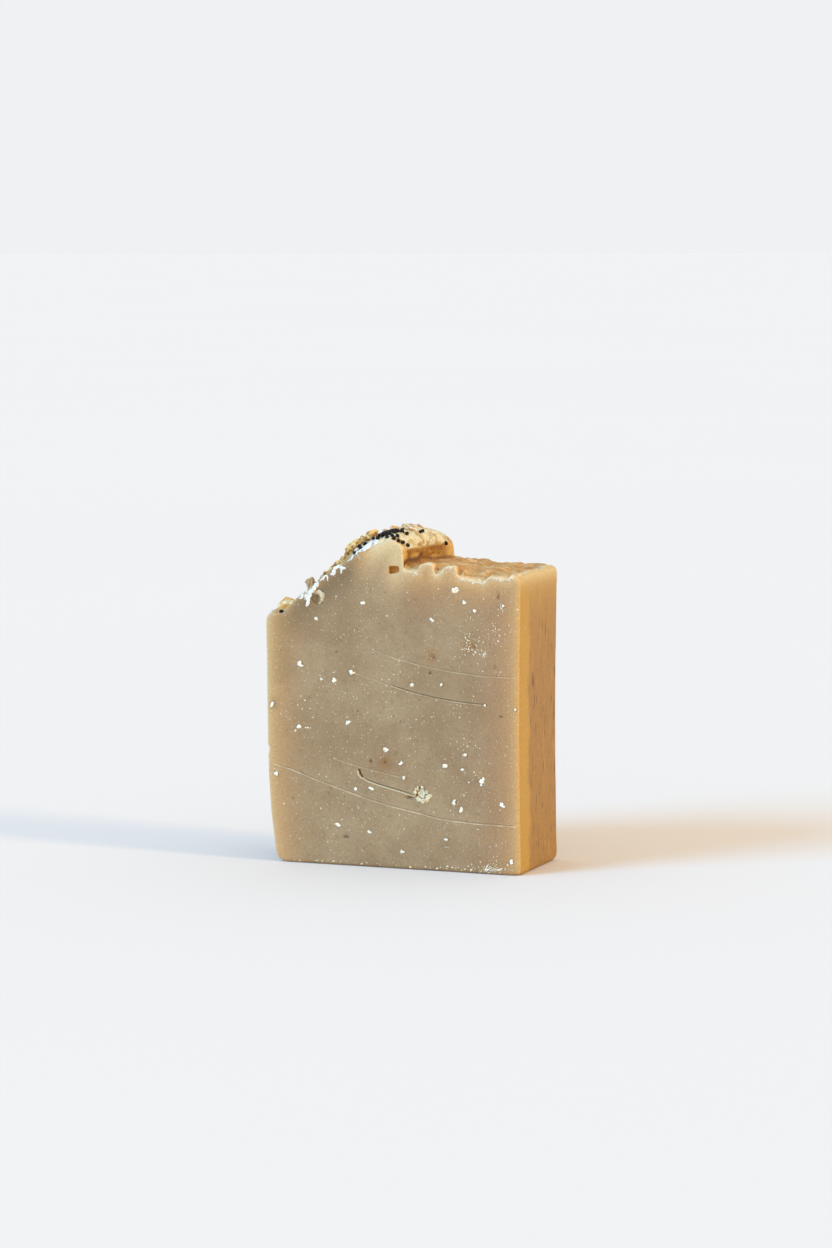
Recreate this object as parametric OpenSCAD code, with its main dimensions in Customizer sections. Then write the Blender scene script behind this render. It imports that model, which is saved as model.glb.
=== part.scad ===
// A bar of handmade soap, cut as one slice from a loaf that was poured into a straight mould.
// It stands on the loaf's base: X runs across the loaf, Y through the slice from the front cut
// face to the back one, and Z up to the rough, unlevelled top with its seeds and oats.

/* [Slice] */
// Width of the slice, from one mould wall to the other
bar_width = 60.4; // [54:0.2:72]
// Thickness of the slice, from the front cut face to the back one
slice_thickness = 25; // [18:0.5:40]
// Height of the low wall on the left
left_height = 55.6; // [50:0.2:59]
// Height of the wall on the right
right_height = 66; // [62:0.2:69]
// How far the soap has worn back along the rims of the two cut faces
edge_wear = 0.5; // [0.2:0.1:1]

/* [Mould walls] */
// How far the foot of the left wall leans in
base_taper = 1.9; // [0:0.1:4]
// Height at which the left wall starts to lean in
taper_height = 24; // [12:1:36]
// Outward lean of the left wall over its whole height
left_draft = 0.5; // [0:0.1:1.5]
// Hollow of the right wall at half its height
right_hollow = 0.4; // [0:0.1:1.2]
// Radius of the mould's corner at the foot of the left wall
left_corner = 2.4; // [1:0.1:5]
// Radius of the mould's corner at the foot of the right wall
right_corner = 1; // [0.6:0.1:4]
// Rounding of the rims along the tops of the two walls
rim_round = 0.7; // [0.4:0.1:1.2]

/* [Top] */
// Height of the crest at the two cut faces
crest_height = 73.1; // [72:0.1:80]
// Distance of the crest's top line from the left wall
crest_place = 29.5; // [24:0.1:33]
// Width of the ledge beside the left wall, before the flank rises
ledge_width = 4.2; // [3:0.1:8]
// Bow of the flank from the ledge to the crest, where 0 is a straight slope
flank_bow = 0.4; // [0:0.05:0.8]
// Width of the crest's rounded shoulder at the front cut
shoulder_width = 3.6; // [2.5:0.1:6]
// How much wider the shoulder is at the back cut
shoulder_gain = 2.5; // [0:0.1:4]
// Drop of the rounded shoulder down to the crest's steep side
shoulder_drop = 3.4; // [2.5:0.1:4.4]
// Depth of the hollow that runs along the foot of the steep side
foot_hollow = 0.7; // [0:0.1:1]
// Height of the rough plateau at the foot of the steep side
plateau_height = 67.5; // [63:0.1:67.5]
// Strength of the lumps and hollows of the top
relief = 1; // [0.5:0.05:1.2]
// Height of the small ripples on top of them
ripple_height = 0.35; // [0:0.05:0.6]
// Distance from one small ripple to the next
ripple_size = 2.6; // [2:0.1:5]

/* [Air pit in the front cut] */
// Width of the pit
pit_width = 2.5; // [1:0.1:4]
// Height of the pit
pit_height = 1.3; // [0.6:0.1:2]
// Depth of the pit
pit_depth = 1.6; // [0.5:0.1:4]
// Thickness of soap left between the pit and the crest's steep side
pit_wall = 1.1; // [0.6:0.1:2]
// Height of the pit's roof below the foot of the steep side
pit_drop = 0.1; // [0:0.1:2]
// How much deeper the pit's floor lies at its left end
pit_slope = 0.5; // [0:0.1:1]

/* [Seeds, flakes and crumbs] */
// Diameter of a poppy seed
seed_size = 0.95; // [0.7:0.05:1.2]
// How deep a seed has sunk into the soap, as a share of its diameter
seed_sink = 0.4; // [0.2:0.05:0.7]
// Thickness of an oat flake
flake_thickness = 0.8; // [0.5:0.1:1.2]
// Depth of the dent at one end of an oat flake, as a share of its length
oat_dent = 0.12; // [0:0.01:0.3]
// How deep an oat lump has sunk into the soap, as a share of its height
lump_sink = 0.35; // [0.2:0.05:0.5]
// Width of an oat lump's top, as a share of its foot
lump_narrowing = 0.6; // [0.4:0.05:0.9]
// Depth of a crumb that the cut has laid open
crumb_depth = 0.7; // [0.4:0.1:1.5]
// Play between an inclusion and the soap that has shrunk away from it while drying
pocket_play = 0.04; // [0.02:0.01:0.08]

/* [Hidden] */

half_width = bar_width / 2;
front = -slice_thickness / 2;
// Width of the flank, from the ledge's inner side to the crest's top line
flank_width = crest_place - ledge_width;

// How finely the top is divided: along the flank, the shoulder, the steep side and the plateau
flank_steps = 34;
shoulder_steps = 6;
steep_steps = 4;
plateau_steps = 46;
// How finely the slice is divided through its thickness, and each wall and corner upwards
through_steps = 25;
wall_steps = 6;
corner_steps = 4;
// Lean of the steep side, which keeps its points apart
steep_lean = 0.25;
ripple_seed = 11;
// How finely the seeds and the outlines of the oats are drawn
seed_facets = 32;
outline_points = 16;
dent_sharpness = 8;
crumb_corners = 7;

// Relief of the flank: for each distance through the slice, heights above the smooth flank at
// distances across it, all distances as shares
flank_relief = [
    [0, [[0, -0.1], [0.05, 0], [0.14, 0.1], [0.2, 0.3], [0.3, 0.1], [0.45, 0.2], [0.6, 0],
         [0.8, 0.1], [0.93, 0.2], [1, 0]]],
    [0.14, [[0, 0.1], [0.05, 0.8], [0.09, 1.6], [0.14, 1.2], [0.19, 0.5], [0.3, 0.4], [0.42, 1],
            [0.55, 0.8], [0.65, 1.5], [0.75, 2], [0.85, 1.7], [1, 0.9]]],
    [0.26, [[0, 0.3], [0.05, 2.2], [0.09, 3.2], [0.14, 2.4], [0.18, 0.8], [0.3, 0.6], [0.42, 1.2],
            [0.55, 1], [0.68, 2.2], [0.8, 2.6], [0.9, 2.2], [1, 1.5]]],
    [0.5, [[0, 0.2], [0.07, 1.6], [0.15, 0.5], [0.28, 1.2], [0.4, 0.4], [0.55, 1.4], [0.7, 2],
           [0.83, 2.8], [0.92, 2.6], [1, 1.7]]],
    [0.75, [[0, 0], [0.08, 0.6], [0.2, 1.4], [0.33, 0.5], [0.5, 1.3], [0.65, 0.8], [0.8, 1.9],
            [0.9, 1.4], [1, 1]]],
    [1, [[0, 0.1], [0.1, 0.4], [0.22, -0.1], [0.35, 0.3], [0.5, -0.1], [0.65, 0.3], [0.8, 0],
         [0.92, 0.3], [1, 0]]],
];

// Relief of the plateau in the same form, from the steep side to the right wall
plateau_relief = [
    [0, [[0, -1.3], [0.14, -1.3], [0.155, 0], [0.19, 0.5], [0.235, 0.2], [0.262, -0.8],
         [0.283, -1.8], [0.33, -0.5], [0.38, 0.1], [0.43, 0.1], [0.485, -0.3], [0.5, -1.7],
         [0.57, -1.6], [0.65, -1.8], [0.7, -2.6], [0.73, -1.8], [0.785, -1.1], [0.85, -1.2],
         [0.88, -1.7], [0.905, -1], [0.95, -0.5], [1, -0.3]]],
    [0.1, [[0, 0], [0.14, -0.1], [0.19, 0.5], [0.25, 0.2], [0.283, -0.8], [0.33, -0.2], [0.4, 0.4],
           [0.48, 0.2], [0.52, -0.7], [0.6, -0.9], [0.66, -0.6], [0.7, -1.2], [0.76, -0.8],
           [0.85, -0.9], [0.93, -0.5], [1, 0]]],
    [0.3, [[0, 0.1], [0.12, -0.3], [0.25, 0.3], [0.33, -0.5], [0.45, 0.1], [0.56, -0.4],
           [0.65, -0.1], [0.78, -0.7], [0.9, -0.5], [0.97, 0], [1, 0.1]]],
    [0.5, [[0, -0.1], [0.1, 0.3], [0.22, -0.4], [0.36, 0.2], [0.5, -0.6], [0.62, 0], [0.75, -0.5],
           [0.88, -0.7], [0.96, 0], [1, 0.1]]],
    [0.75, [[0, 0.1], [0.1, -0.3], [0.2, 0.2], [0.3, -0.5], [0.42, 0.1], [0.55, -0.3], [0.7, 0.1],
            [0.85, -0.4], [0.95, 0], [1, 0.1]]],
    [1, [[0, -0.2], [0.05, 0.1], [0.1, -0.7], [0.17, -0.7], [0.28, 0.1], [0.36, -0.4],
         [0.45, -0.5], [0.6, -0.5], [0.75, -0.3], [0.9, -0.1], [1, 0]]],
];

// Poppy seeds of the black row on the crest and of the trail from it down to the front cut: distance
// right of the crest's top line and behind the front cut, both in seed diameters
row_seeds = [
    [-3.2, 2.05], [-2.15, 2.2], [-1.75, 3.3], [-0.55, 2.5], [-0.1, 3.75], [0.6, 4.85], [1.7, 4.9],
    [2.75, 5.2], [-1.15, 4.25], [0.6, 2.95], [-0.35, 0.8], [0.65, 1.4], [1.75, 1.95], [1.4, 0.6],
    [2.45, 0.75], [3.25, 1.45], [3.95, 2.6],
];

// The toppings below are placed by two numbers. The first is the place across the top, where 0 to 1
// is the flank, 1 to 2 the shoulder and 2 to 3 the plateau. The second is the distance behind the
// front cut or, below zero, from the back cut

// Poppy seeds that lie apart: place and distance
lone_seeds = [
    [1.535, 10.75], [1.52, 12.1], [1.98, -4.25], [0.123, 1.1],
    [0.722, 1.2], [0.745, 2.3], [0.772, 1.2], [0.79, 2.3],
    [0.86, 9], [0.7, 9.5], [0.62, -6], [0.84, -6.5], [0.9, -8.5], [0.97, -6],
];

// Oat flakes that lie on the top: place, distance, length, width and turn
flakes = [
    [1.05, 12.2, 4.2, 2.8, 10],
    [1, 8.2, 2.4, 1.8, 50],
    [0.6, 7.5, 3.2, 2.4, 30],
    [0.43, 4.2, 3, 2.2, -40],
    [0.3, 9, 3.2, 2.4, 15],
    [0.49, -8.5, 3.4, 2.6, 75],
    [0.78, -10, 3, 2.2, -20],
    [0.66, -3, 3.3, 2.5, 40],
    [0.2, -4, 3, 2.2, 60],
    [0.92, -3.5, 3, 2.2, 30],
];

// Lumps of toasted oat on the top: place, distance, length, width, height and turn
lumps = [
    [0.33, 5, 3, 1.6, 3.2, 80],
    [0.63, 1.6, 1.8, 1.2, 1.4, 20],
    [0.7, 4.7, 3.2, 2.1, 2.1, 10],
    [0.8, 6, 2.4, 2, 2.2, -20],
    [0.42, -5.5, 2.4, 1.8, 1.6, 60],
    [0.53, -2.2, 2.2, 1.8, 1.6, 10],
    [0.2, -8.5, 2.2, 1.6, 1.5, 40],
    [0.79, -3.2, 2, 1.5, 1.5, 0],
    [0.7, -6.8, 2.2, 1.8, 1.6, 70],
    [0.32, -6, 2, 1.4, 1.4, 20],
];

// Oat flakes laid open in the front cut: share across, share of the height there, length, width
// and turn
cut_flakes = [
    [0.215, 0.943, 3.8, 3.2, 65],
    [0.622, 0.25, 3.6, 2.8, -40],
];

// Crumbs of oat laid open in the front cut: share across, share of the height there, length,
// width and turn
crumbs = [
    [0.144, 0.74, 1.5, 0.8, -55], [0.225, 0.65, 1.3, 0.5, -60], [0.279, 0.62, 1.1, 0.9, 80],
    [0.332, 0.47, 1.2, 1, 20], [0.48, 0.36, 1.3, 0.8, -15], [0.539, 0.33, 1, 0.8, 60],
    [0.55, 0.29, 0.7, 0.6, 0], [0.42, 0.245, 1.1, 0.7, -10], [0.361, 0.25, 0.7, 0.5, 0],
    [0.71, 0.35, 1, 0.7, 15], [0.78, 0.35, 1, 0.7, -20], [0.788, 0.4, 1.2, 0.9, 10],
    [0.853, 0.315, 2.2, 0.9, 70], [0.745, 0.23, 1.1, 0.9, 80], [0.772, 0.21, 1.3, 0.7, 45],
    [0.93, 0.24, 1.5, 0.8, -40], [0.291, 0.135, 1.4, 0.7, -35], [0.414, 0.11, 1.1, 0.5, -25],
    [0.713, 0.105, 1.2, 0.6, 15], [0.042, 0.355, 1, 0.7, -60], [0.753, 0.927, 1.6, 1.2, 25],
    [0.785, 0.915, 0.9, 0.6, -30], [0.661, 0.825, 0.9, 0.7, -45], [0.827, 0.89, 0.8, 0.6, 50],
    [0.929, 0.905, 1.5, 0.5, 50], [0.392, 0.83, 0.9, 0.7, 10], [0.208, 0.87, 0.9, 0.5, -50],
    [0.583, 0.617, 0.6, 0.6, 0], [0.699, 0.617, 0.6, 0.6, 40], [0.348, 0.63, 1.3, 0.5, -15],
    [0.982, 0.56, 0.7, 0.6, 0], [0.965, 0.047, 1.1, 0.6, 75], [0.14, 0.51, 1, 0.5, 0],
    [0.028, 0.636, 1.2, 0.6, 80], [0.865, 0.58, 0.7, 0.6, 0], [0.543, 0.055, 1.2, 0.5, 5],
];

function mix(from, to, share) = from + (to - from) * share;
function ease(share) = share * share * (3 - 2 * share);

// Height of a relief at a share across and a share through, eased from one of its rows to the next
function relief_at(rows, across, through) =
    let (past = [for (k = [0:len(rows) - 2]) if (through >= rows[k][0]) k])
    let (row = rows[max(past)])
    let (next = rows[max(past) + 1])
    let (share = (through - row[0]) / (next[0] - row[0]))
    relief * mix(lookup(across, row[1]), lookup(across, next[1]), ease(share));

// A grid of random heights, and the eased height between four of its corners
ripple_rows = ceil(slice_thickness / ripple_size) + 1;
ripple_columns = ceil(bar_width / ripple_size) + 1;
ripples = [for (row = [0:ripple_rows]) rands(-1, 1, ripple_columns + 1, ripple_seed + row)];

function ripple(x, y) =
    let (across = (x + half_width) / ripple_size)
    let (through = (y - front) / ripple_size)
    let (column = floor(across))
    let (row = floor(through))
    let (near = mix(ripples[row][column], ripples[row][column + 1], ease(across - column)))
    let (far = mix(ripples[row + 1][column], ripples[row + 1][column + 1], ease(across - column)))
    ripple_height * mix(near, far, ease(through - row));

// Height of the smooth flank at a share across: the ledge first, then the bowed rise
function flank_height(across) =
    let (rise = max(0, (across * crest_place - ledge_width) / flank_width))
    left_height + (crest_height - left_height) * rise * (1 + flank_bow * (1 - rise));

function flank_point(across, through) =
    let (x = -half_width + across * crest_place)
    let (y = front + through * slice_thickness)
    [x, y, flank_height(across) + relief_at(flank_relief, across, through) + ripple(x, y)];

// Width of the shoulder at a share through the slice
function shoulder_at(through) = shoulder_width + shoulder_gain * through;

function shoulder_point(turn, through) =
    let (top = flank_point(1, through))
    [top.x + shoulder_at(through) * sin(90 * turn), top.y, top.z - shoulder_drop * (1 - cos(90 * turn))];

// Place across of the steep side's foot
function foot_x(through) = -half_width + crest_place + shoulder_at(through) + steep_lean;

function plateau_point(across, through) =
    let (x = mix(foot_x(through), half_width, across))
    let (y = front + through * slice_thickness)
    let (smooth = mix(plateau_height, right_height, across))
    [x, y, smooth + relief_at(plateau_relief, across, through) + ripple(x, y)];

// A point of the top, from 0 at the left wall over 1 and 2 at the shoulder to 3 at the right wall
function top_point(place, through) =
    place <= 1 ? flank_point(place, through)
    : place <= 2 ? shoulder_point(place - 1, through)
    : plateau_point(place - 2, through);

// The places across where the top has its points, with the two rims left to the walls
rim_share_left = rim_round / crest_place;
rim_share_right = 1 - rim_round / (half_width - foot_x(0));
flank_places = [for (k = [0:flank_steps]) mix(rim_share_left, 1, k / flank_steps)];
shoulder_places = [for (k = [1:shoulder_steps]) 1 + k / shoulder_steps];
plateau_shares = [for (k = [0:plateau_steps]) rim_share_right * k / plateau_steps];

// Points between the shoulder's end and the foot of the steep side, which is hollowed towards its
// foot but straight at the two cuts
function steep_points(through) =
    let (head = shoulder_point(1, through))
    let (foot = plateau_point(0, through))
    let (hollow = foot_hollow * sin(180 * through))
    [
        for (k = [1:steep_steps - 1])
            let (share = k / steep_steps)
            mix(head, foot, share) - [hollow * pow(share, 2), 0, 0]
    ];

function left_x(height) =
    -half_width + left_draft * (1 - height / left_height)
    + base_taper * pow(max(0, 1 - height / taper_height), 2);
function right_x(height) = half_width - right_hollow * sin(180 * height / right_height);

// The left corner and wall from the base up to the rim, and the right ones from the rim down
function left_side(through, y) =
    let (rim = flank_point(0, through).z - rim_round)
    [
        for (k = [0:corner_steps])
            let (turn = 90 * k / corner_steps)
            let (height = left_corner * (1 - cos(turn)))
            [left_x(height) + left_corner * (1 - sin(turn)), y, height],
        for (k = [1:wall_steps])
            let (height = mix(left_corner, rim, k / wall_steps))
            [left_x(height), y, height]
    ];
function right_side(through, y) =
    let (rim = plateau_point(1, through).z - rim_round)
    [
        for (k = [0:wall_steps - 1])
            let (height = mix(rim, right_corner, k / wall_steps))
            [right_x(height), y, height],
        for (k = [corner_steps:-1:0])
            let (turn = 90 * k / corner_steps)
            let (height = right_corner * (1 - cos(turn)))
            [right_x(height) - right_corner * (1 - sin(turn)), y, height]
    ];

// One section of the slice as a ring of points, starting at the middle of the base
function section(through) =
    let (y = front + through * slice_thickness)
    [
        [0, y, 0],
        each left_side(through, y),
        for (place = flank_places) top_point(place, through),
        for (place = shoulder_places) top_point(place, through),
        each steep_points(through),
        for (share = plateau_shares) plateau_point(share, through),
        each right_side(through, y)
    ];

// The ring of a cut face: the section drawn in towards its middle by the wear of its rims
function worn(ring, y) =
    let (middle = crest_height / 2)
    [
        for (point = ring)
            [point.x * (1 - edge_wear / half_width), y, mix(point.z, middle, edge_wear / middle)]
    ];

wear_share = edge_wear / slice_thickness;
inner_rings = [for (k = [0:through_steps]) section(mix(wear_share, 1 - wear_share, k / through_steps))];
rings = [
    worn(section(0), front),
    each inner_rings,
    worn(section(1), -front)
];
ring_size = len(rings[0]);
ring_count = len(rings);

function corner(ring, k) = ring * ring_size + k % ring_size;

// Place on the top over a distance across the slice, the other way round from top_point
peak_x = -half_width + crest_place;
function place_over(x, through) =
    let (shoulder = shoulder_at(through))
    x <= peak_x ? (x + half_width) / crest_place
    : x <= peak_x + shoulder ? 1 + asin((x - peak_x) / shoulder) / 90
    : 2 + max(0, x - foot_x(through)) / (half_width - foot_x(through));

// Share through the slice at a distance behind the front cut or, below zero, from the back cut
function through_at(distance) = distance / slice_thickness + (distance < 0 ? 1 : 0);

// Direction that the top faces at a place
function top_facing(place, through) =
    let (step = 0.005)
    let (along = top_point(place + step, through) - top_point(place - step, through))
    let (back = top_point(place, through + step) - top_point(place, through - step))
    let (out = cross(along, back))
    out / norm(out);

// Sets its children on the top, with their Z axis out of the soap
module on_top(place, through, turn = 0) {
    out = top_facing(place, through);
    translate(top_point(place, through))
        rotate([0, acos(out.z), atan2(out.y, out.x)])
        rotate(turn)
        children();
}

// Sets its children in the front cut, with their Z axis out of the soap
module in_front_cut(across, up, turn) {
    x = -half_width + across * bar_width;
    translate([x, front, up * top_point(place_over(x, 0), 0).z])
        rotate([90, 0, 0])
        rotate(turn)
        children();
}

// The loaf's slice before anything is pressed into it, one skin over all the rings
module slice_body() {
    polyhedron(
        points = [for (ring = rings) each ring],
        faces = [
            [for (k = [0:ring_size - 1]) corner(0, k)],
            for (ring = [0:ring_count - 2], k = [0:ring_size - 1])
                each [
                    [corner(ring, k), corner(ring + 1, k), corner(ring + 1, k + 1)],
                    [corner(ring, k), corner(ring + 1, k + 1), corner(ring, k + 1)]
                ],
            [for (k = [0:ring_size - 1]) corner(ring_count - 1, ring_size - k)]
        ],
        convexity = 6);
}

// The shapes below take a growth, which is 0 for the piece itself and the play for its pocket

// One poppy seed, sunk into the soap
module seed_shape(grow) {
    translate([0, 0, seed_size * (0.5 - seed_sink)])
        sphere(d = seed_size + 2 * grow, $fn = seed_facets);
}

// All the poppy seeds
module seed_shapes(grow) {
    for (seed = row_seeds)
        let (through = through_at(seed[1] * seed_size))
        on_top(place_over(peak_x + seed[0] * seed_size, through), through)
            seed_shape(grow);
    for (seed = lone_seeds)
        on_top(seed[0], through_at(seed[1]))
            seed_shape(grow);
}

// A flat oval with a slight dent in its outline, as a rolled oat has
module oat_outline(length, width) {
    polygon([
        for (k = [0:outline_points - 1])
            let (turn = 360 * k / outline_points)
            let (reach = 1 - oat_dent * pow(cos(turn / 2), dent_sharpness))
            [length / 2 * reach * cos(turn), width / 2 * reach * sin(turn)]
    ]);
}

// Oat flakes, half sunk into the top
module flake_shapes(grow) {
    for (flake = flakes)
        on_top(flake[0], through_at(flake[1]), flake[4])
            linear_extrude(flake_thickness + 2 * grow, center = true)
            oat_outline(flake[2] + 2 * grow, flake[3] + 2 * grow);
}

// An angular outline, different for each index
module broken_outline(length, width, index) {
    reach = rands(0.75, 1, crumb_corners, index);
    polygon([
        for (k = [0:crumb_corners - 1])
            let (turn = 360 * k / crumb_corners)
            reach[k] * [length / 2 * cos(turn), width / 2 * sin(turn)]
    ]);
}

// Oat lumps, a third sunk into the top and narrower above
module lump_shapes(grow) {
    for (k = [0:len(lumps) - 1])
        let (lump = lumps[k])
        on_top(lump[0], through_at(lump[1]), lump[5])
            translate([0, 0, -lump[4] * lump_sink - grow])
            linear_extrude(lump[4] + 2 * grow, scale = lump_narrowing)
            broken_outline(lump[2] + 2 * grow, lump[3] + 2 * grow, k);
}

// Crumbs and flakes in the front cut, flush with it; a pocket for them runs out past the cut
module crumb_shapes(grow) {
    for (k = [0:len(crumbs) - 1])
        let (crumb = crumbs[k])
        in_front_cut(crumb[0], crumb[1], crumb[4])
            translate([0, 0, -crumb_depth - grow])
            linear_extrude(crumb_depth + 2 * grow)
            broken_outline(crumb[2] + 2 * grow, crumb[3] + 2 * grow, k);
}
module cut_flake_shapes(grow) {
    for (flake = cut_flakes)
        in_front_cut(flake[0], flake[1], flake[4])
            translate([0, 0, -flake_thickness - grow])
            linear_extrude(flake_thickness + 2 * grow)
            oat_outline(flake[2] + 2 * grow, flake[3] + 2 * grow);
}

// The air pit beside the foot of the steep side, open at the front cut
module air_pit() {
    translate([foot_x(0) - pit_wall - pit_width, front + pit_depth, plateau_height - pit_drop - pit_height])
        rotate([90, 0, 0])
        linear_extrude(2 * pit_depth)
        polygon([[0, -pit_slope], [pit_width, 0], [pit_width, pit_height], [0, pit_height]]);
}

module soap_bar() {
    color("#b3a087")
        difference() {
            slice_body();
            air_pit();
            seed_shapes(pocket_play);
            flake_shapes(pocket_play);
            lump_shapes(pocket_play);
            crumb_shapes(pocket_play);
            cut_flake_shapes(pocket_play);
        }
}

module poppy_seeds() {
    color("#2a2622") seed_shapes(0);
}

module oat_flakes() {
    color("#d9c39a") {
        flake_shapes(0);
        cut_flake_shapes(0);
    }
}

module oat_lumps() {
    color("#c08a3c") lump_shapes(0);
}

module oat_crumbs() {
    color("#efe6d2") crumb_shapes(0);
}

soap_bar();
poppy_seeds();
oat_flakes();
oat_lumps();
oat_crumbs();
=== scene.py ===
# A bar of handmade soap, dressed over its CAD frame: a wire-cut slice of cold-process soap with
# poppy seeds, rolled oats and toasted crumbs on its rough poured top. Places in lists are in mm:
# across, back and up, or across and up on the front cut.
import math
import random

import bpy
import numpy as np
from mathutils import Matrix, Vector
from mathutils.bvhtree import BVHTree
from mathutils.kdtree import KDTree


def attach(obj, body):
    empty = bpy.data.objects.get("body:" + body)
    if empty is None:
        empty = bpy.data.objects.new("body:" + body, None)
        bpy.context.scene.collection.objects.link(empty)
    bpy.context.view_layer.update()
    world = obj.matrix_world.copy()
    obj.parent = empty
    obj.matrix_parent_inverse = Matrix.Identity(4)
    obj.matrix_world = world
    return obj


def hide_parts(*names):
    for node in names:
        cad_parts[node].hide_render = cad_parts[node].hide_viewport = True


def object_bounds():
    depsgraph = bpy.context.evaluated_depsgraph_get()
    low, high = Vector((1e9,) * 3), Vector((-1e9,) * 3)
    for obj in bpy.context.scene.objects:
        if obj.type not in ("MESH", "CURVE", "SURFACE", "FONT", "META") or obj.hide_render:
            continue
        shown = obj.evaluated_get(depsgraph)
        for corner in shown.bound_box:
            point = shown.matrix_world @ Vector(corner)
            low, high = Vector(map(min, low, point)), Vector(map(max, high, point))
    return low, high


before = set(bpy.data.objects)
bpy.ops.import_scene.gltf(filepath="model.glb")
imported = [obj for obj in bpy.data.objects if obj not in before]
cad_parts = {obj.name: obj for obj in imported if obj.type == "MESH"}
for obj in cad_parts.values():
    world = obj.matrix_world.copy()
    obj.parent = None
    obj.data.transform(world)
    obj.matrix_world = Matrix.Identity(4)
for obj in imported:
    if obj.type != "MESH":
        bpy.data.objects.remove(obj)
cad_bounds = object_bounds()

MM = 0.001
# Half of the bar's width and of its thickness, in mm
HALF_WIDE, HALF_THICK = [round(side / MM, 1) for side in list(cad_bounds[1])[:2]]
FULL_TURN = 6.28
# Where rays start down, in metres
OVERHEAD = 0.2
MOST_TRIANGLES = 188000


def linear(hex_colour):
    """An sRGB hex value as linear RGBA."""
    parts = [int(hex_colour[i:i + 2], 16) / 255 for i in (1, 3, 5)]
    return tuple(v / 12.92 if v <= 0.04045 else ((v + 0.055) / 1.055) ** 2.4 for v in parts) + (1.0,)


def node(material, kind, settings=None, inputs=None):
    """Adds a node with its settings, and with values or links for its inputs."""
    made = material.node_tree.nodes.new(kind)
    for name, value in (settings or {}).items():
        setattr(made, name, value)
    for name, value in (inputs or {}).items():
        if isinstance(value, bpy.types.NodeSocket):
            material.node_tree.links.new(value, made.inputs[name])
        else:
            made.inputs[name].default_value = value
    return made


def new_material(name):
    material = bpy.data.materials.new(name)
    material.use_nodes = True
    material.node_tree.nodes.clear()
    return material


def added(name, data):
    """A new object in the scene."""
    made = bpy.data.objects.new(name, data)
    bpy.context.scene.collection.objects.link(made)
    return made


# Camera: where the photograph was taken from, 0.85 m away with a 110 mm lens
film = bpy.data.cameras.new("camera")
film.sensor_fit = "VERTICAL"
film.sensor_height = film.sensor_width = 36
film.lens = 110
film.clip_start, film.clip_end = 0.05, 60
camera = added("camera", film)
bpy.context.scene.camera = camera
YAW, PITCH, ROLL = 0.375975, 0.103275, -0.003120
ASIDE, ABOVE, AWAY = 0.81 * MM, 52.70 * MM, 852.48 * MM
back = Vector((math.sin(YAW) * math.cos(PITCH), -math.cos(YAW) * math.cos(PITCH), math.sin(PITCH)))
level = Vector((math.cos(YAW), math.sin(YAW), 0))
over = back.cross(level)
right = math.cos(ROLL) * level + math.sin(ROLL) * over
up = -math.sin(ROLL) * level + math.cos(ROLL) * over
camera.matrix_world = Matrix.Translation(ASIDE * right + ABOVE * up + AWAY * back) @ \
    Matrix((right, up, back)).transposed().to_4x4()


# Light: an even white studio, a low warm lamp on the right and a broad cool window on the left
def sun(name, azimuth, elevation, strength, colour, angle):
    """A far lamp: where it stands (azimuth 0 is +X) and how wide it looks, in degrees."""
    data = bpy.data.lights.new(name, "SUN")
    data.energy = strength
    data.color = colour
    data.angle = math.radians(angle)
    lamp = added(name, data)
    a, e = math.radians(azimuth), math.radians(elevation)
    away = Vector((-math.cos(a) * math.cos(e), -math.sin(a) * math.cos(e), -math.sin(e)))
    lamp.rotation_mode = "QUATERNION"
    lamp.rotation_quaternion = away.to_track_quat("-Z", "Y")


sun("warm_lamp", -7, 17, 1.9, (1.0, 0.76, 0.45), 11)
sun("cool_window", -130, 30, 3.8, (0.15, 0.49, 1.0), 26)
world = bpy.data.worlds.new("studio")
world.use_nodes = True
world.node_tree.nodes["Background"].inputs["Color"].default_value = (0.870, 0.880, 0.890, 1)
bpy.context.scene.world = world
bpy.context.scene.view_settings.view_transform = "Standard"

# Floor: a sheet of matte studio paper
bpy.ops.mesh.primitive_grid_add(x_subdivisions=8, y_subdivisions=8, size=40)
floor = bpy.context.object
floor.name = "studio_floor"
paper = new_material("studio paper, matte")
tex = node(paper, "ShaderNodeTexCoord")
fibre = node(paper, "ShaderNodeTexNoise",
             inputs={"Vector": tex.outputs["Object"], "Scale": 2.0, "Detail": 3.0})
tone = node(paper, "ShaderNodeMix", {"data_type": "RGBA"},
            {0: fibre.outputs["Fac"], 6: linear("#e3d6c6"), 7: linear("#e5d8c8")})
shell = node(paper, "ShaderNodeBsdfPrincipled",
             inputs={"Base Color": tone.outputs[2], "Roughness": 0.9, "Specular IOR Level": 0.1})
node(paper, "ShaderNodeOutputMaterial", inputs={"Surface": shell.outputs["BSDF"]})
floor.data.materials.append(paper)


def only(piece):
    """Selects this piece and nothing else."""
    bpy.ops.object.select_all(action="DESELECT")
    piece.select_set(True)
    bpy.context.view_layer.objects.active = piece


def edited(piece, operator, **settings):
    """Runs an operator of edit mode on the whole of a piece."""
    only(piece)
    bpy.ops.object.mode_set(mode="EDIT")
    bpy.ops.mesh.select_all(action="SELECT")
    operator(**settings)
    bpy.ops.object.mode_set(mode="OBJECT")


def use_modifier(piece, kind, **settings):
    """Adds a modifier with its settings and applies it."""
    only(piece)
    made = piece.modifiers.new(kind.lower(), kind)
    for name, value in settings.items():
        setattr(made, name, value)
    bpy.ops.object.modifier_apply(modifier=made.name)


def roughened(piece, size, depth, strength, mid_level=0.5, **settings):
    """Displaces a piece by clouds: the size of a lump in mm, their detail, and their height in mm."""
    texture = bpy.data.textures.new("clouds", "CLOUDS")
    texture.noise_scale = size * MM
    texture.noise_depth = depth
    use_modifier(piece, "DISPLACE", texture=texture, texture_coords="LOCAL", strength=strength * MM,
                 mid_level=mid_level, **settings)


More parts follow.
